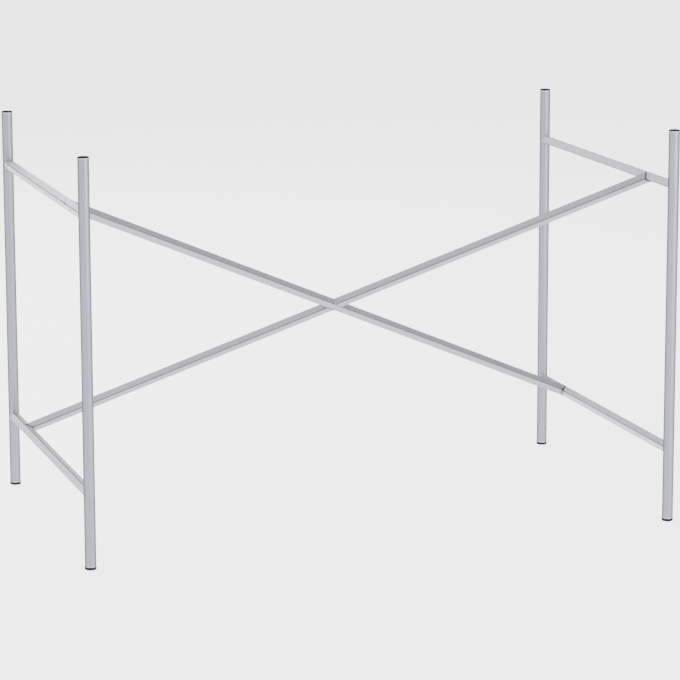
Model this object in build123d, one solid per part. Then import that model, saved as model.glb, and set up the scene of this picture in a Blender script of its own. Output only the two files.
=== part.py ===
from build123d import *
import os

# A table frame: two welded end frames of round legs and square rails, held apart by a flat cross of square bars.
# The cross leans back: its upper ends are near the front legs and its lower ends near the back legs.
# Millimetres. +X right, +Y back, +Z up. The origin is on the floor, midway between the four legs.

# Legs: round tube, closed by a plastic cap above and a plastic foot below.
frame_height = 720.0
leg_spacing_x = 1080.0
leg_spacing_y = 640.0
leg_diameter = 20.0
leg_wall = 1.5

# Rails: square tube between the front and back leg of each end, turned so that one corner faces the bar.
rail_size = 15.0
rail_wall = 1.5
rail_corner = 2.0
lower_rail_height = 135.0
upper_rail_drop = 100.0

# Cross bars: square tube, with notched ends that sit over the rails' inner corners.
brace_size = 15.0
brace_wall = 1.5
brace_corner = 2.0
brace_top_setback = 111.0
brace_foot_setback = 121.0

# Caps and feet: a disc that covers the tube's end, and a hollow ribbed plug that grips the bore.
cap_disc = 2.0
cap_edge = 0.6
foot_disc = 5.0
foot_edge = 1.2
foot_overhang = 0.4
plug_fit = 0.1
plug_length = 16.0
plug_core_diameter = 14.0
plug_core_wall = 1.8
rib_count = 6
rib_width = 2.0

# End plugs of the cross bars: a notched collar between bar and rail, and a block in the bar's bore.
collar_thickness = 1.6
plug_reach = 30.0
block_fit = 0.1
thread_fit = 0.05

# Screws: on the bar's axis, through both corners of the rail and into the end plug.
screw_diameter = 5.0
screw_length = 25.0
screw_tip_chamfer = 0.6
screw_head_diameter = 9.5
screw_head_height = 2.4
screw_head_flat = 4.4
screw_head_bulge = 0.3
screw_rim = 0.8
socket_across_flats = 3.0
socket_depth = 1.6
screw_hole_diameter = 5.6
screw_seat_reach = 6.3
screw_pocket_margin = 0.5

# Places worked out from the sizes above.
leg_radius = leg_diameter / 2
leg_bore_radius = leg_radius - leg_wall
leg_bottom = foot_disc
leg_top = frame_height - cap_disc
upper_rail_height = frame_height - upper_rail_drop
rail_x = leg_spacing_x / 2
brace_top_y = -leg_spacing_y / 2 + brace_top_setback
brace_foot_y = leg_spacing_y / 2 - brace_foot_setback

sides = {"left": -1, "right": 1}
ends = {"front": -1, "back": 1}
levels = {"upper": (brace_top_y, upper_rail_height), "lower": (brace_foot_y, lower_rail_height)}


def leg_place(side, end):
    """The axis of one leg, as X and Y."""
    return sides[side] * leg_spacing_x / 2, ends[end] * leg_spacing_y / 2


def square_section(size, wall, corner):
    """A square tube's section, with rounded corners inside and out."""
    bore = size - 2 * wall
    return RectangleRounded(size, size, corner) - RectangleRounded(bore, bore, max(corner - wall, 0.2))


def leg_tube(side, end):
    x, y = leg_place(side, end)
    ring = Circle(leg_radius) - Circle(leg_bore_radius)
    return Pos(x, y, leg_bottom) * extrude(ring, leg_top - leg_bottom)


def tube_plug(disc, edge, rim):
    """A cap or foot of radius rim, with its disc's outer face at Z = 0 and its ribbed plug upwards."""
    core = plug_core_diameter / 2
    bore = core - plug_core_wall
    plug_top = disc + plug_length
    section = Polyline(
        (0, 0),
        (rim - edge, 0),
        (rim, edge),
        (rim, disc),
        (core, disc),
        (core, plug_top),
        (bore, plug_top),
        (bore, disc),
        (0, disc),
        close=True,
    )
    body = revolve(Plane.XZ * make_face(section), Axis.Z)
    grip = Circle(leg_bore_radius - plug_fit) - Circle((core + bore) / 2)
    spokes = Sketch() + PolarLocations(leg_radius / 2, rib_count) * Rectangle(leg_radius, rib_width)
    return body + Pos(0, 0, disc) * extrude(grip & spokes, plug_length)


def foot(side, end):
    x, y = leg_place(side, end)
    return Pos(x, y, 0) * tube_plug(foot_disc, foot_edge, leg_radius + foot_overhang)


def cap(side, end):
    x, y = leg_place(side, end)
    return Pos(x, y, frame_height) * Rot(180, 0, 0) * tube_plug(cap_disc, cap_edge, leg_radius)


def rail_plane(side, level):
    """The plane across a rail on its axis. X points along the bar that ends there, seen from the front."""
    height = levels[level][1]
    rise = upper_rail_height - lower_rail_height
    if level == "upper":
        rise = -rise
    toward_bar = Vector(-sides[side] * leg_spacing_x, 0, rise)
    return Plane(origin=(sides[side] * rail_x, 0, height), x_dir=toward_bar, z_dir=(0, 1, 0))


def rail_envelope(side, level, growth):
    """The rail's outside as a full bar, grown by this much all round."""
    size = rail_size + 2 * growth
    outline = Rot(0, 0, 45) * RectangleRounded(size, size, rail_corner + growth)
    return extrude(rail_plane(side, level) * outline, leg_spacing_y / 2, both=True)


def rail(side, level):
    """A square rail, coped at both ends to sit round the legs, with its screw hole and the screw's seat."""
    section = Rot(0, 0, 45) * square_section(rail_size, rail_wall, rail_corner)
    body = extrude(rail_plane(side, level) * section, leg_spacing_y / 2, both=True)
    for end in ends:
        x, y = leg_place(side, end)
        body -= Pos(x, y, levels[level][1]) * Cylinder(leg_radius, 4 * rail_size)
    body -= screw_plane(side, level) * Cylinder(screw_hole_diameter / 2, 3 * rail_size)
    pocket = Circle(screw_head_diameter / 2 + screw_pocket_margin)
    body -= screw_plane(side, level) * extrude(Pos(0, 0, -screw_seat_reach) * pocket, -rail_size)
    return body


def rail_point(side, level):
    """Where a cross bar's axis meets the rail's axis."""
    y, z = levels[level]
    return Vector(sides[side] * rail_x, y, z)


def opposite(side):
    return "right" if side == "left" else "left"


def bar_plane(side):
    """The plane across the bar whose upper end is on this side: X is the cross's normal, Z the bar's axis."""
    start = rail_point(side, "upper")
    finish = rail_point(opposite(side), "lower")
    lean = Vector(0, brace_foot_y - brace_top_y, lower_rail_height - upper_rail_height)
    normal = Vector(1, 0, 0).cross(lean)
    return Plane(origin=(start + finish) * 0.5, x_dir=normal, z_dir=finish - start)


def screw_plane(side, level):
    """The plane across the bar's axis where it meets the rail's: Z points into the bar."""
    far_level = "lower" if level == "upper" else "upper"
    start = rail_point(side, level)
    finish = rail_point(opposite(side), far_level)
    return Plane(origin=start, x_dir=(0, 1, 0), z_dir=finish - start)


def along_bar(side, section):
    """A section run along the whole of one bar's axis and past both rails."""
    return extrude(bar_plane(side) * section, leg_spacing_x, both=True)


def inward(side, level, length):
    """A block of space from the rail's axis towards the bar, for cutting pieces to length."""
    reach = 2 * frame_height
    return rail_plane(side, level) * Pos(length / 2, 0, 0) * Box(length, reach, 3 * reach)


def cross_bar(side):
    """One bar of the cross at full length, notched at both ends to fit its end plugs."""
    tube = along_bar(side, square_section(brace_size, brace_wall, brace_corner))
    far = opposite(side)
    tube &= inward(side, "upper", 2 * leg_spacing_x)
    tube &= inward(far, "lower", 2 * leg_spacing_x)
    tube -= rail_envelope(side, "upper", collar_thickness)
    return tube - rail_envelope(far, "lower", collar_thickness)


def half_bars():
    """The second bar, parted where the long bar passes, so that its halves butt against it."""
    gap = along_bar("left", Rectangle(4 * brace_size, brace_size))
    halves = (cross_bar("right") - gap).solids().sort_by(Axis.X)
    return halves[0], halves[-1]


def brace_end(side, level):
    """The bar (by its upper side) that ends at this side and level."""
    return side if level == "upper" else opposite(side)


def end_plug(side, level):
    """A notched collar with the bar's own outline and a block in its bore, tapped along the bar's axis."""
    bar = brace_end(side, level)
    bore = brace_size - 2 * brace_wall - 2 * block_fit
    bore_corner = max(brace_corner - brace_wall, 0.2)
    notch = rail_envelope(side, level, collar_thickness)
    near = inward(side, level, plug_reach)
    collar = along_bar(bar, RectangleRounded(brace_size, brace_size, brace_corner)) & near & notch
    block = (along_bar(bar, RectangleRounded(bore, bore, bore_corner)) & near) - notch
    body = collar + block - rail_envelope(side, level, 0)
    return body - screw_plane(side, level) * Cylinder(screw_diameter / 2 + thread_fit, 4 * plug_reach)


def screw(side, level):
    """A low domed screw with a hexagon socket, its head on the seat in the rail's outer corner."""
    shank = screw_diameter / 2
    head = screw_head_diameter / 2
    flat = screw_head_flat / 2
    tip = screw_length
    section = Polyline(
        (flat, -screw_head_height),
        (0, -screw_head_height),
        (0, tip),
        (shank - screw_tip_chamfer, tip),
        (shank, tip - screw_tip_chamfer),
        (shank, 0),
        (head, 0),
        (head, -screw_rim),
    )
    section += SagittaArc((head, -screw_rim), (flat, -screw_head_height), screw_head_bulge)
    body = revolve(Plane.XZ * make_face(section), Axis.Z)
    socket = RegularPolygon(socket_across_flats / 2, 6, major_radius=False)
    body -= Pos(0, 0, -screw_head_height) * extrude(socket, socket_depth)
    return screw_plane(side, level) * Pos(0, 0, -screw_seat_reach) * body


def save(shape, name):
    shape.label = name
    export_step(shape, os.path.join("parts", name + ".step"))


def build():
    os.makedirs("parts", exist_ok=True)
    for side in sides:
        for end in ends:
            save(leg_tube(side, end), f"leg_{end}_{side}")
            save(cap(side, end), f"cap_{end}_{side}")
            save(foot(side, end), f"foot_{end}_{side}")
        for level in levels:
            save(rail(side, level), f"rail_{level}_{side}")
            save(end_plug(side, level), f"brace_plug_{level}_{side}")
            save(screw(side, level), f"brace_screw_{level}_{side}")
    lower_half, upper_half = half_bars()
    save(cross_bar("left"), "brace_long_bar")
    save(lower_half, "brace_half_bar_lower")
    save(upper_half, "brace_half_bar_upper")


build()
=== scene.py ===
# %% [markdown]
# # A steel table frame
# Two welded ends of round legs and square rails are held apart by a leaning cross of square bars.
# The solid pieces come ready made as the frame, at their real size, and are never moved or reshaped here.
# This lesson gives them their finish, adds the weld seams that a welder leaves at each joint, and sets up
# the studio: a pale floor, soft lights and the camera. All lengths are in metres.

# %% Load the frame
import math

import bpy
from mathutils import Matrix, Vector


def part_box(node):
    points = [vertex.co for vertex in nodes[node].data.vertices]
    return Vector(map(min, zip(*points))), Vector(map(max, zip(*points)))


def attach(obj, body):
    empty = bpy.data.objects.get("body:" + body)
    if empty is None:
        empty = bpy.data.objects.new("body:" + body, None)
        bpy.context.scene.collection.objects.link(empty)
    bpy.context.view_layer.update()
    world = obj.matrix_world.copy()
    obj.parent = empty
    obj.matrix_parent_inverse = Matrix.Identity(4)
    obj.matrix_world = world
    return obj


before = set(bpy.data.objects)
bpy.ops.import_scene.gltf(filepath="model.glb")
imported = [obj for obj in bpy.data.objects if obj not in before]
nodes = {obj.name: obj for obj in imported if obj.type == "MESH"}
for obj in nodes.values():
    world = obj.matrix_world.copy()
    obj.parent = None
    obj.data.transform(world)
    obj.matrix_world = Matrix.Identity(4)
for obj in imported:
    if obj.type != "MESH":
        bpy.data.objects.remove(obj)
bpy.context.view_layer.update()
print("pieces in the frame:", len(nodes))

# %% [markdown]
# ## The sides and levels
# The pieces are named by where they are: front or back, left or right, upper or lower.
# With the names in lists, each repeated piece is reached by a loop. Most sizes are read from the pieces'
# boxes. The square tubes lie aslant, so their width and corner radius are given here.

# %% Names and the sizes read from the frame
SIDES = ("left", "right")
ENDS = ("front", "back")
LEVELS = ("upper", "lower")
TUBE_WIDTH = 0.015
TUBE_CORNER = 0.002


def middle(node):
    """The middle of a node's box."""
    low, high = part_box(node)
    return (Vector(low) + Vector(high)) / 2


def extent(node):
    """The size of a node's box."""
    low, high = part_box(node)
    return Vector(high) - Vector(low)


leg_radius = extent("leg_front_left").x / 2
leg_foot, leg_top = (corner[2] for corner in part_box("leg_front_left"))
rail_low = middle("rail_lower_left").z
rail_high = middle("rail_upper_left").z
bar_extent = extent("brace_long_bar")
bar_slope = math.atan2(rail_high - rail_low, 2 * middle("rail_upper_right").x)
print("leg diameter", round(2 * leg_radius, 4), "bar slope in degrees", round(math.degrees(bar_slope), 2))

# %% [markdown]
# ## Small helpers for node trees
# Every finish below is a node tree. These helpers keep the cells short: the first adds a node and sets its
# inputs, the second joins two sockets, and the others add a node that is wired up at once.

# %% Node helpers


def add_node(tree, kind, at, values=(), **settings):
    """A node of this kind at a place in the tree, with its settings and its input values."""
    node = tree.nodes.new(kind)
    node.location = at
    for name, value in settings.items():
        setattr(node, name, value)
    for name, value in dict(values).items():
        node.inputs[name].default_value = value
    return node


def join(tree, source, target):
    tree.links.new(source, target)


def add_math(tree, operation, at, *sources):
    """The result of a Math node that works on these sockets or plain numbers."""
    node = add_node(tree, "ShaderNodeMath", at, operation=operation)
    for index, source in enumerate(sources):
        if isinstance(source, float):
            node.inputs[index].default_value = source
        else:
            join(tree, source, node.inputs[index])
    return node.outputs[0]


def add_range(tree, source, at, values):
    """The result of a Map Range node on this socket."""
    node = add_node(tree, "ShaderNodeMapRange", at, values)
    join(tree, source, node.inputs["Value"])
    return node.outputs["Result"]


def add_noise(tree, place, at, scale, detail, roughness=0.5):
    """The grey value of a noise that lies in the object's own coordinates."""
    node = add_node(tree, "ShaderNodeTexNoise", at, {"Scale": scale, "Detail": detail, "Roughness": roughness})
    join(tree, place.outputs["Object"], node.inputs["Vector"])
    return node.outputs["Fac"]


def add_tone(tree, source, at, dark, light, low=0.0, high=1.0):
    """A colour between dark and light, as the source rises from low to high."""
    node = add_node(tree, "ShaderNodeValToRGB", at)
    first, last = node.color_ramp.elements
    first.position = low
    last.position = high
    first.color = dark
    last.color = light
    join(tree, source, node.inputs["Fac"])
    return node.outputs["Color"]


def add_bump(tree, shader, height, strength, depth):
    """A relief of this depth on the shader's normal."""
    node = add_node(tree, "ShaderNodeBump", (-300, -300), {"Strength": strength, "Distance": depth})
    join(tree, height, node.inputs["Height"])
    join(tree, node.outputs["Normal"], shader.inputs["Normal"])


def start_material(name):
    """A new material, with its node tree and its Principled shader."""
    material = bpy.data.materials.new(name)
    material.use_nodes = True
    tree = material.node_tree
    return material, tree, tree.nodes["Principled BSDF"]


def start_group(name, inputs, outputs):
    """A new node group with these sockets, given by name and kind, and the nodes that carry them."""
    group = bpy.data.node_groups.new(name, "ShaderNodeTree")
    for direction, sockets in (("INPUT", inputs), ("OUTPUT", outputs)):
        for socket, kind in sockets.items():
            group.interface.new_socket(socket, in_out=direction, socket_type="NodeSocket" + kind)
    start = add_node(group, "NodeGroupInput", (-1100, 0))
    finish = add_node(group, "NodeGroupOutput", (700, 0))
    return group, start, finish


print("helpers ready")

# %% [markdown]
# ## Powder coat as a shared group
# The steel has a satin silver powder coat. Powder melts into a skin with a fine, pebbled surface that
# is known as orange peel, and the silver pigment in it makes a very small sparkle.
# The colour also drifts a little along a long tube, because the coat isn't equally thick everywhere.
# Legs, rails, bars and welds share this look, so it is a node group with its own inputs and outputs.
# The group only puts out a colour, a roughness and a height. The shader stays in each material.

# %% The powder coat group
DRIFT_SCALE = 9.0
FLAKE_SCALE = 2600.0
PEEL_SCALE = 900.0


def make_coat_group():
    group, start, finish = start_group(
        "Powder Coat",
        {"Base": "Color", "Drift": "Float", "Sparkle": "Float", "Mean Roughness": "Float"},
        {"Color": "Color", "Roughness": "Float", "Height": "Float"},
    )
    place = add_node(group, "ShaderNodeTexCoord", (-1100, -300))

    cloud = add_noise(group, place, (-800, 250), DRIFT_SCALE, 2.0)
    drift = add_range(group, cloud, (-600, 250), {"To Min": -0.5, "To Max": 0.5})
    drift = add_math(group, "MULTIPLY", (-400, 250), drift, start.outputs["Drift"])

    flake = add_node(group, "ShaderNodeTexVoronoi", (-800, -50), {"Scale": FLAKE_SCALE}, feature="F1")
    join(group, place.outputs["Object"], flake.inputs["Vector"])
    flake_grey = add_node(group, "ShaderNodeRGBToBW", (-600, -50))
    join(group, flake.outputs["Color"], flake_grey.inputs["Color"])
    sparkle = add_range(group, flake_grey.outputs["Val"], (-400, -50), {"To Min": -0.5, "To Max": 0.5})
    sparkle = add_math(group, "MULTIPLY", (-200, -50), sparkle, start.outputs["Sparkle"])

    change = add_math(group, "ADD", (0, 150), drift, sparkle)
    brightness = add_math(group, "ADD", (150, 150), change, 1.0)
    shade = add_node(group, "ShaderNodeVectorMath", (350, 200), operation="SCALE")
    join(group, start.outputs["Base"], shade.inputs[0])
    join(group, brightness, shade.inputs["Scale"])
    join(group, shade.outputs["Vector"], finish.inputs["Color"])

    peel = add_noise(group, place, (-800, -350), PEEL_SCALE, 1.0, 0.4)
    join(group, peel, finish.inputs["Height"])
    dull = add_range(group, peel, (-400, -350), {"To Min": -0.04, "To Max": 0.04})
    rough = add_math(group, "ADD", (350, -250), dull, start.outputs["Mean Roughness"])
    join(group, rough, finish.inputs["Roughness"])
    return group


coat_group = make_coat_group()
print("group sockets:", [s.name for s in coat_group.interface.items_tree])

# %% [markdown]
# ## A painted dark line along the corners
# A fine darker line is painted along each rounded corner of a square tube, as a painted dark reflection.
# The corner is found by its normal: on a flat side the normal lies along one of the
# tube's two face directions, and on the rounded corner along neither. The cosine of the angle to the
# nearest face direction tells the two apart, and the group puts out that mask.

# %% The corner line group
FLAT_COSINE = 0.997
CORNER_COSINE = 0.94


def make_corner_shade_group():
    group, start, finish = start_group("Painted Corner Shade", {"Face A": "Vector", "Face B": "Vector"}, {"Corner": "Float"})
    surface = add_node(group, "ShaderNodeNewGeometry", (-1100, -200))
    cosines = []
    for index, name in enumerate(("Face A", "Face B")):
        dot = add_node(group, "ShaderNodeVectorMath", (-500, -200 * index), operation="DOT_PRODUCT")
        join(group, start.outputs[name], dot.inputs[0])
        join(group, surface.outputs["Normal"], dot.inputs[1])
        cosines.append(add_math(group, "ABSOLUTE", (-250, -200 * index), dot.outputs["Value"]))
    nearest = add_math(group, "MAXIMUM", (0, 0), *cosines)
    corner = add_range(group, nearest, (250, 0), {"From Min": FLAT_COSINE, "From Max": CORNER_COSINE})
    join(group, corner, finish.inputs["Corner"])
    return group


corner_shade_group = make_corner_shade_group()
print("group sockets:", [s.name for s in corner_shade_group.interface.items_tree])

# %% [markdown]
# ## The silver coat on the tubes
# The coat is part metal pigment and part clear resin. A middling Metallic with a fairly rough surface
# gives the soft highlight that runs down a round leg and the flat grey faces of the square bars.
# Its flakes lie flat in the resin, so the coat looks bright face on and darker where the surface turns
# away. Coaters call this flop. A Layer Weight node measures the turn, and the colour is painted darker by
# it: a little on the bars and welds, as flop, and far more on the round legs, as painted shade at their rims.

# %% Silver coat
# One silver coat, given three base colours: the legs and bars are painted darker and the rails lighter, as painted
# shade and painted light.
BAR_SILVER_SHADED = (0.212, 0.22, 0.248, 1.0)
RAIL_SILVER_LIT = (0.285, 0.293, 0.324, 1.0)
LEG_SILVER_SHADED = (0.19, 0.2, 0.238, 1.0)
METAL_SHARE = 0.35
SPARKLE = 0.1
TUBE_DRIFT = 0.05
TUBE_PEEL = 0.00004
FLOP_AND_RIM_SHADE_START = 0.25
FLOP_AND_RIM_SHADE_END = 0.65


def coat_material(name, base, drift, roughness, peel_depth, flop_and_rim_shade_dark, flop_and_rim_shade_end=FLOP_AND_RIM_SHADE_END):
    """A powder-coated metal with flop and painted rim shade. Where it has turned away as far as
    flop_and_rim_shade_end, flop_and_rim_shade_dark of its brightness is left.
    """
    material, tree, shader = start_material(name)
    facing = add_node(tree, "ShaderNodeLayerWeight", (-900, 300), {"Blend": 0.5})
    turn = {"From Min": FLOP_AND_RIM_SHADE_START, "From Max": flop_and_rim_shade_end, "To Min": 1.0, "To Max": flop_and_rim_shade_dark}
    flop_and_rim_shade = add_node(tree, "ShaderNodeMapRange", (-700, 300), turn, name="flop_and_rim_shade")
    join(tree, facing.outputs["Facing"], flop_and_rim_shade.inputs["Value"])
    settings = {"Base": base, "Drift": drift, "Sparkle": SPARKLE, "Mean Roughness": roughness}
    coat = add_node(tree, "ShaderNodeGroup", (-600, 0), settings, node_tree=coat_group)
    shade = add_node(tree, "ShaderNodeVectorMath", (-250, 200), operation="SCALE", name="shade")
    join(tree, coat.outputs["Color"], shade.inputs[0])
    join(tree, flop_and_rim_shade.outputs["Result"], shade.inputs["Scale"])
    join(tree, shade.outputs["Vector"], shader.inputs["Base Color"])
    join(tree, coat.outputs["Roughness"], shader.inputs["Roughness"])
    add_bump(tree, shader, coat.outputs["Height"], 0.5, peel_depth)
    shader.inputs["Metallic"].default_value = METAL_SHARE
    return material


def shade_further(tree, factor):
    """The coat's painted brightness follows this factor as well as the flop and painted rim shade."""
    both = add_math(tree, "MULTIPLY", (-400, 450), factor, tree.nodes["flop_and_rim_shade"].outputs["Result"])
    join(tree, both, tree.nodes["shade"].inputs["Scale"])


weld_coat = coat_material("weld_coat", RAIL_SILVER_LIT, drift=0.12, roughness=0.46, peel_depth=0.0003, flop_and_rim_shade_dark=0.8)
print("made", weld_coat.name)

# %% [markdown]
# ## The square tubes' coats
# The rails come in two turns, and the bars in two directions, each with its own pair of face
# directions. A rail's corner faces the bar, so its sides lie 45 degrees to either side of the bar's
# direction. A bar's sides face along the cross's normal, and square to that and to the bar.

# %% Coats with corner lines
SQUARE_ROUGHNESS = 0.42


def square_coat(name, base, flop_and_rim_shade_dark, corner_shade_dark, faces):
    """A coat for square tubes, with a painted dark line along its corners. faces holds the tube's two face
    directions.
    """
    material = coat_material(name, base, TUBE_DRIFT, SQUARE_ROUGHNESS, TUBE_PEEL, flop_and_rim_shade_dark)
    tree = material.node_tree
    directions = {"Face A": faces[0], "Face B": faces[1]}
    corner = add_node(tree, "ShaderNodeGroup", (-900, 600), directions, node_tree=corner_shade_group)
    # The corners are painted darker, down to corner_shade_dark of the brightness: a painted dark reflection.
    dark = {"To Min": 1.0, "To Max": corner_shade_dark}
    shade_further(tree, add_range(tree, corner.outputs["Corner"], (-650, 600), dark))
    return material


def rail_faces(slope):
    """The face directions of a rail whose corner points along a bar that rises by this angle."""
    angles = (slope + math.radians(45), slope - math.radians(45))
    return [Vector((math.cos(angle), 0, math.sin(angle))) for angle in angles]


def bar_faces(rises):
    """The face directions of the bar that rises (1) or falls (-1) from left to right."""
    along = Vector((bar_extent.x, -rises * bar_extent.y, rises * bar_extent.z)).normalized()
    normal = Vector((1, 0, 0)).cross(Vector((0, bar_extent.y, -bar_extent.z))).normalized()
    return [normal, normal.cross(along)]


# After the base colour: what the flop and painted rim shade leave, and what the painted corner shade leaves, of the
# brightness.
rail_falling = square_coat("rail_coat_falling", RAIL_SILVER_LIT, 1.0, 0.15, rail_faces(-bar_slope))
rail_rising = square_coat("rail_coat_rising", RAIL_SILVER_LIT, 1.0, 0.15, rail_faces(bar_slope))
bar_falling = square_coat("bar_coat_falling", BAR_SILVER_SHADED, 0.95, 0.3, bar_faces(-1))
bar_rising = square_coat("bar_coat_rising", BAR_SILVER_SHADED, 0.95, 0.3, bar_faces(1))
print("made", rail_falling.name, rail_rising.name, bar_falling.name, bar_rising.name)

# %% [markdown]
# ## Painted highlights at the legs' ends
# The last two millimetres of each leg beside its cap and its foot are painted brighter, as a painted
# highlight where the tube's end catches the light. The legs' coat is the same coat with one more mask, which reads
# the height.

# %% The legs' coat
HIGHLIGHT_BAND = 0.0018
HIGHLIGHT_BLUR = 0.0004
HIGHLIGHT_GAIN = 1.5


def paint_end_highlights(material, highlight_gain):
    """The coat is painted brighter by this factor within a narrow band at both ends of an upright tube: a painted
    highlight.
    """
    tree = material.node_tree
    place = add_node(tree, "ShaderNodeTexCoord", (-1300, 600))
    split = add_node(tree, "ShaderNodeSeparateXYZ", (-1100, 600))
    join(tree, place.outputs["Object"], split.inputs[0])
    height = split.outputs["Z"]
    upper_edge = leg_top - HIGHLIGHT_BAND
    lower_edge = leg_foot + HIGHLIGHT_BAND
    upper = add_range(tree, height, (-900, 700), {"From Min": upper_edge - HIGHLIGHT_BLUR, "From Max": upper_edge})
    lower = add_range(tree, height, (-900, 500), {"From Min": lower_edge + HIGHLIGHT_BLUR, "From Max": lower_edge})
    either = add_math(tree, "MAXIMUM", (-750, 600), upper, lower)
    shade_further(tree, add_range(tree, either, (-600, 600), {"To Min": 1.0, "To Max": highlight_gain}))


# The legs' rims are painted far darker than flop alone would make them: painted shade.
leg_coat = coat_material("leg_coat", LEG_SILVER_SHADED, TUBE_DRIFT, 0.32, TUBE_PEEL, flop_and_rim_shade_dark=0.12, flop_and_rim_shade_end=0.62)
leg_shader = leg_coat.node_tree.nodes["Principled BSDF"]
leg_shader.inputs["Specular IOR Level"].default_value = 0.1
leg_shader.inputs["Specular Tint"].default_value = (0.35, 0.36, 0.4, 1)
# Painted highlights at both ends of each leg.
paint_end_highlights(leg_coat, HIGHLIGHT_GAIN)
print("legs from", round(leg_foot, 4), "to", round(leg_top, 4))

# %% [markdown]
# ## Moulded black plastic
# Caps and feet are moulded plastic with a fine spark-eroded grain: nearly black, dull, and a shade
# lighter where the surface has been handled. The end plugs of the cross are a smoother black. Seen almost
# edge on, a shiny black turns pale, so the plastic has no sheen at all.

# %% Black plastic
HANDLING_SCALE = 120.0
DULLNESS_SPREAD = 0.06


def plastic_material(name, dark, light, roughness, grain_scale, grain_depth):
    """A moulded plastic with a fine grain."""
    material, tree, shader = start_material(name)
    place = add_node(tree, "ShaderNodeTexCoord", (-1000, 0))
    grain = add_noise(tree, place, (-800, -200), grain_scale, 3.0)
    cloud = add_noise(tree, place, (-800, 200), HANDLING_SCALE, 2.0)
    tone = add_tone(tree, cloud, (-550, 200), dark, light, low=0.35, high=0.7)
    join(tree, tone, shader.inputs["Base Color"])
    spread = {"To Min": roughness - DULLNESS_SPREAD, "To Max": roughness + DULLNESS_SPREAD}
    join(tree, add_range(tree, grain, (-550, -50), spread), shader.inputs["Roughness"])
    add_bump(tree, shader, grain, 0.6, grain_depth)
    shader.inputs["Specular IOR Level"].default_value = 0.0
    return material


black_plastic = plastic_material(
    "black_plastic", (0.013, 0.013, 0.014, 1), (0.026, 0.027, 0.027, 1), 0.55, grain_scale=1800.0, grain_depth=0.00005
)
plug_black = plastic_material(
    "black_plug", (0.012, 0.012, 0.013, 1), (0.022, 0.022, 0.023, 1), 0.42, grain_scale=2400.0, grain_depth=0.00003
)
print("made", black_plastic.name, "and", plug_black.name)

# %% [markdown]
# ## Zinc-plated screws
# The screws are cold formed and plated with zinc. The plate is bright and a little cloudy, and duller
# where the cloud is lighter, so one noise drives both the colour and the roughness.

# %% Zinc plate
CLOUD_SCALE = 350.0
PLATE_SCALE = 4000.0
PLATE_DEPTH = 0.00002


def zinc_material(name):
    material, tree, shader = start_material(name)
    place = add_node(tree, "ShaderNodeTexCoord", (-1000, 0))
    cloud = add_noise(tree, place, (-750, 200), CLOUD_SCALE, 3.0)
    tone = add_tone(tree, cloud, (-500, 200), (0.42, 0.43, 0.45, 1), (0.58, 0.59, 0.61, 1))
    join(tree, tone, shader.inputs["Base Color"])
    dull = add_range(tree, cloud, (-500, -100), {"To Min": 0.24, "To Max": 0.4})
    join(tree, dull, shader.inputs["Roughness"])
    fine = add_noise(tree, place, (-750, -300), PLATE_SCALE, 2.0)
    add_bump(tree, shader, fine, 0.3, PLATE_DEPTH)
    shader.inputs["Metallic"].default_value = 1.0
    return material


zinc = zinc_material("zinc_plate")
print("made", zinc.name)

# %% [markdown]
# ## Put the finishes on
# A node's object keeps its mesh, and only the material in its slot changes.

# %% Assign the finishes
finishes = {
    "leg": leg_coat,
    "rail_upper_left": rail_falling,
    "rail_lower_right": rail_falling,
    "rail_lower_left": rail_rising,
    "rail_upper_right": rail_rising,
    "brace_long": bar_falling,
    "brace_half": bar_rising,
    "brace_plug": plug_black,
    "brace_screw": zinc,
    "cap": black_plastic,
    "foot": black_plastic,
}


def dress(node, material):
    """Every material slot of this node gets the finish."""
    mesh = nodes[node].data
    if not mesh.materials:
        mesh.materials.append(material)
    for index in range(len(mesh.materials)):
        mesh.materials[index] = material


for node in nodes:
    for start, material in finishes.items():
        if node.startswith(start):
            dress(node, material)
print("dressed", len(nodes), "nodes")

# %% [markdown]
# ## One weld bead
# Each rail's end is cut hollow to sit round the leg, and a welder runs one bead round the joint.
# The bead is made as the welder's path: a square plane with rounded corners, turned like the rail, gives
# the rail's outline. Its edge is pressed along the rail onto the leg, where it takes the leg's curve.
# As a curve with a round section it becomes the bead, half of it sunk in the two tubes.

# %% The first bead
BEAD_RADIUS = 0.0009
CORNER_SEGMENTS = 4
EDGE_CUTS = 7
MERGE_DISTANCE = 0.000001


def deselect_all():
    bpy.ops.object.select_all(action="DESELECT")


def make_active(thing):
    deselect_all()
    thing.select_set(True)
    bpy.context.view_layer.objects.active = thing


def apply_place(thing):
    """The object's place and turn go into its mesh, and the object itself sits at the origin."""
    make_active(thing)
    bpy.ops.object.transform_apply(location=True, rotation=True, scale=True)


def edit_all():
    """Edit mode, with the whole mesh selected."""
    bpy.ops.object.mode_set(mode="EDIT")
    bpy.ops.mesh.select_all(action="SELECT")


def select_long_edges(thing, shortest):
    """In edit mode, only the edges that are longer than this."""
    bpy.ops.mesh.select_mode(type="EDGE")
    bpy.ops.mesh.select_all(action="DESELECT")
    bpy.ops.object.mode_set(mode="OBJECT")
    mesh = thing.data
    for edge in mesh.edges:
        start, finish = (mesh.vertices[i].co for i in edge.vertices)
        edge.select = (start - finish).length > shortest
    bpy.ops.object.mode_set(mode="EDIT")


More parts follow.
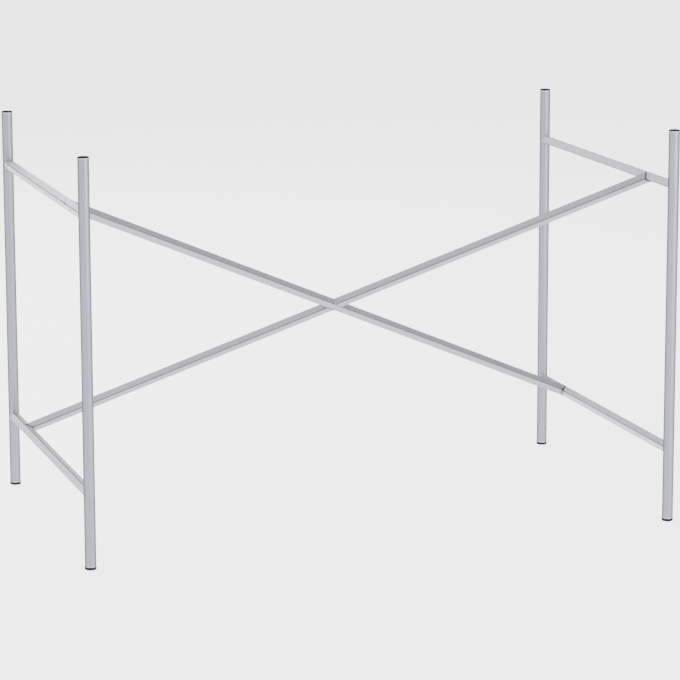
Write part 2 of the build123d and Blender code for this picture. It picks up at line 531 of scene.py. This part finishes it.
def rail_outline():
    """The upper left rail's outline as a loop of edges, a little way along the rail from the front leg."""
    rail = middle("rail_upper_left")
    start = (rail.x, middle("leg_front_left").y + 3 * leg_radius, rail.z)
    turn = bar_slope + math.radians(45)
    deselect_all()
    bpy.ops.mesh.primitive_plane_add(size=TUBE_WIDTH, location=start, rotation=(math.radians(90), turn, 0))
    outline = bpy.context.object
    apply_place(outline)
    edit_all()
    bpy.ops.mesh.bevel(offset=TUBE_CORNER, segments=CORNER_SEGMENTS, affect="VERTICES")
    bpy.ops.mesh.select_all(action="SELECT")
    bpy.ops.mesh.delete(type="ONLY_FACE")
    select_long_edges(outline, TUBE_WIDTH / 3)
    bpy.ops.mesh.subdivide(number_cuts=EDGE_CUTS)
    bpy.ops.object.mode_set(mode="OBJECT")
    return outline


def first_bead():
    """The bead round the upper left rail's front end."""
    bead = rail_outline()
    press = bead.modifiers.new("press", "SHRINKWRAP")
    press.target = nodes["leg_front_left"]
    press.wrap_method = "PROJECT"
    press.use_project_y = True
    press.use_positive_direction = False
    press.use_negative_direction = True
    bpy.ops.object.modifier_apply(modifier="press")
    bpy.ops.object.convert(target="CURVE")
    bead.data.bevel_depth = BEAD_RADIUS
    bead.data.bevel_resolution = 2
    bpy.ops.object.convert(target="MESH")
    edit_all()
    bpy.ops.mesh.remove_doubles(threshold=MERGE_DISTANCE)
    bpy.ops.mesh.normals_make_consistent(inside=False)
    bpy.ops.object.mode_set(mode="OBJECT")
    bpy.ops.object.shade_smooth()
    return bead


def finish_weld(bead, name):
    bead.name = name
    bead.data.name = name
    bead.data.materials.clear()
    bead.data.materials.append(weld_coat)
    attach(bead, "root")


bead = first_bead()
print("bead points:", len(bead.data.vertices), "box:", [round(v, 4) for v in bead.dimensions])

# %% [markdown]
# ## The other seven beads
# The frame is the same left and right, front and back, and the lower rails are turned as the upper ones
# are, the other way up. So each bead is the first one mirrored across one, two or three planes. An odd
# number of mirrors turns the faces inside out, and then they are flipped back.

# %% Mirror the bead to the other joints


def mirrored(source, flip, centre):
    """A copy with its own mesh, mirrored along each axis whose flip is -1."""
    make_active(source)
    bpy.ops.object.duplicate(linked=False)
    copy = bpy.context.object
    edit_all()
    bpy.ops.transform.resize(value=flip, center_override=centre)
    if flip[0] * flip[1] * flip[2] < 0:
        bpy.ops.mesh.flip_normals()
    bpy.ops.object.mode_set(mode="OBJECT")
    return copy


level_middle = (rail_low + rail_high) / 2
for side in SIDES:
    for end in ENDS:
        for level in LEVELS:
            flip = (1 if side == "left" else -1, 1 if end == "front" else -1, 1 if level == "upper" else -1)
            if flip == (1, 1, 1):
                continue
            other = mirrored(bead, flip, (0, 0, level_middle))
            finish_weld(other, "weld_%s_%s_%s" % (level, end, side))
finish_weld(bead, "weld_upper_front_left")

# %% [markdown]
# ## The crossing of the two bars
# One bar runs through. The other is cut in two, and each half is welded to the first one's side. The
# seams on the broad faces are ground flush, and a short bead stays in each of the four inner corners.
# A corner's place follows from the bars' width and the angle between them.

# %% Corner beads at the crossing
CROSS_BEAD_RADIUS = 0.0013
CROSS_BEAD_EDGE = 0.0005
CROSS_BEAD_LENGTH = TUBE_WIDTH - TUBE_CORNER

cross_middle = middle("brace_long_bar")
across = Vector((1, 0, 0))
lean = Vector((0, bar_extent.y, -bar_extent.z)).normalized()
bead_turn = across.cross(lean).normalized().to_track_quat("Z", "Y").to_euler()
reach_down = math.hypot(bar_extent.y, bar_extent.z)
half_angle = math.atan2(reach_down, bar_extent.x)
side_reach = TUBE_WIDTH / 2 / math.sin(half_angle)
upright_reach = TUBE_WIDTH / 2 / math.cos(half_angle)
corners = {
    "left": cross_middle - across * side_reach,
    "right": cross_middle + across * side_reach,
    "upper": cross_middle - lean * upright_reach,
    "lower": cross_middle + lean * upright_reach,
}
for name, corner in corners.items():
    deselect_all()
    bpy.ops.mesh.primitive_cylinder_add(
        vertices=20, radius=CROSS_BEAD_RADIUS, depth=CROSS_BEAD_LENGTH, location=corner, rotation=bead_turn
    )
    short = bpy.context.object
    apply_place(short)
    edit_all()
    bpy.ops.mesh.bevel(offset=CROSS_BEAD_EDGE, segments=3)
    bpy.ops.object.mode_set(mode="OBJECT")
    bpy.ops.object.shade_smooth_by_angle(angle=math.radians(40))
    finish_weld(short, "weld_cross_" + name)
print("corner distances:", round(side_reach, 4), round(upright_reach, 4))

# %% [markdown]
# ## The floor
# The floor is a wide pale sheet that the feet stand on. It is part of the studio, not of the object.
# It glows a little, so that it comes out nearly white.

# %% Floor
FLOOR_SIZE = 60.0
FLOOR_GLOW = 2.6


def floor_material():
    material, tree, shader = start_material("studio_floor")
    place = add_node(tree, "ShaderNodeTexCoord", (-800, 0))
    cloud = add_noise(tree, place, (-600, 0), 3.0, 3.0)
    tone = add_tone(tree, cloud, (-350, 0), (0.86, 0.86, 0.865, 1), (0.88, 0.88, 0.885, 1))
    join(tree, tone, shader.inputs["Base Color"])
    shader.inputs["Roughness"].default_value = 0.7
    shader.inputs["Emission Color"].default_value = (1, 1, 1, 1)
    shader.inputs["Emission Strength"].default_value = FLOOR_GLOW
    return material


deselect_all()
bpy.ops.mesh.primitive_plane_add(size=FLOOR_SIZE, location=(0, 0, 0))
floor = bpy.context.object
floor.name = "studio_floor"
floor.data.materials.append(floor_material())
print("floor size", tuple(floor.dimensions))

# %% [markdown]
# ## Soft studio light
# A large light overhead and a key from the front right draw a soft highlight just right of each leg's
# middle. A light from behind and above brightens the rails' upper faces. The surroundings are as pale as
# the floor where they meet it, so that a low view sees no edge, then dimmer, so that the legs' rims
# darken, and brighter again overhead.

# %% Lights and world
LIGHT_TARGET = (0, 0, 0.36)
LIGHTS = {
    "key_light": {"place": (1.9, -3.6, 1.0), "width": 0.7, "height": 1.8, "power": 185},
    "fill_light": {"place": (-2.8, -0.2, 2.6), "width": 1.6, "height": 1.6, "power": 70},
    "top_light": {"place": (0, 0, 3.4), "width": 3.0, "height": 3.0, "power": 50},
    "back_light": {"place": (-0.8, 3.2, 2.8), "width": 3.0, "height": 1.2, "power": 170},
}
# How high in the sky each band lies, from 0 at the horizon to 1 overhead, and its brightness.
HORIZON_BAND = (0.2, 0.95)
DIM_BAND = (0.34, 0.12)
OVERHEAD_BAND = (1.0, 0.45)


def area_light(name, place, width, height, power):
    light = bpy.data.lights.new(name, "AREA")
    light.shape = "RECTANGLE"
    light.size = width
    light.size_y = height
    light.energy = power
    lamp = bpy.data.objects.new(name, light)
    bpy.context.scene.collection.objects.link(lamp)
    lamp.location = place
    lamp.rotation_euler = (Vector(LIGHT_TARGET) - Vector(place)).to_track_quat("-Z", "Y").to_euler()


def grey(level):
    return (level, level, level, 1)


for name, settings in LIGHTS.items():
    area_light(name, **settings)

world = bpy.data.worlds.new("studio_world")
bpy.context.scene.world = world
world.use_nodes = True
sky = world.node_tree
direction = add_node(sky, "ShaderNodeTexCoord", (-900, 0))
rise = add_node(sky, "ShaderNodeSeparateXYZ", (-700, 0))
join(sky, direction.outputs["Generated"], rise.inputs[0])
bands = add_node(sky, "ShaderNodeValToRGB", (-500, 0))
stops = bands.color_ramp.elements
for stop, (height, level) in zip(stops, (HORIZON_BAND, OVERHEAD_BAND)):
    stop.position = height
    stop.color = grey(level)
stops.new(DIM_BAND[0]).color = grey(DIM_BAND[1])
join(sky, rise.outputs["Z"], bands.inputs["Fac"])
sky_glow = add_math(sky, "MULTIPLY", (-200, 0), bands.outputs["Color"], FLOOR_GLOW)
background = sky.nodes["Background"]
background.inputs["Color"].default_value = (1, 1, 1, 1)
join(sky, sky_glow, background.inputs["Strength"])

# %% [markdown]
# ## The camera
# The photograph was taken from well back with a long lens, from the front left and a little above.
# The camera's place is in metres from the part's origin, and its turn, tilt and roll are in radians. Its
# axes are built from them and set as one matrix. The lens and the sensor are in millimetres.

# %% Camera
CAMERA_PLACE = Vector((-1.7009, -5.468, 1.4653))
TURN_RIGHT = 0.3038
TILT_DOWN = 0.1992
ROLL = -0.0025
LENS = 166.6
SENSOR_WIDTH = 36.0


def camera_matrix(place, turn, tilt, roll):
    """The camera's axes: right, up, and backwards, as columns."""
    forward = Vector((math.sin(turn) * math.cos(tilt), math.cos(turn) * math.cos(tilt), -math.sin(tilt)))
    right = Vector((math.cos(turn), -math.sin(turn), 0))
    up = right.cross(forward)
    turned_right = right * math.cos(roll) + up * math.sin(roll)
    turned_up = up * math.cos(roll) - right * math.sin(roll)
    axes = Matrix((turned_right, turned_up, -forward)).transposed().to_4x4()
    return Matrix.Translation(place) @ axes


lens = bpy.data.cameras.new("photo_camera")
lens.lens = LENS
lens.sensor_width = SENSOR_WIDTH
camera = bpy.data.objects.new("photo_camera", lens)
bpy.context.scene.collection.objects.link(camera)
camera.matrix_world = camera_matrix(CAMERA_PLACE, TURN_RIGHT, TILT_DOWN, ROLL)
bpy.context.scene.camera = camera
print("camera at", tuple(round(v, 3) for v in camera.location))
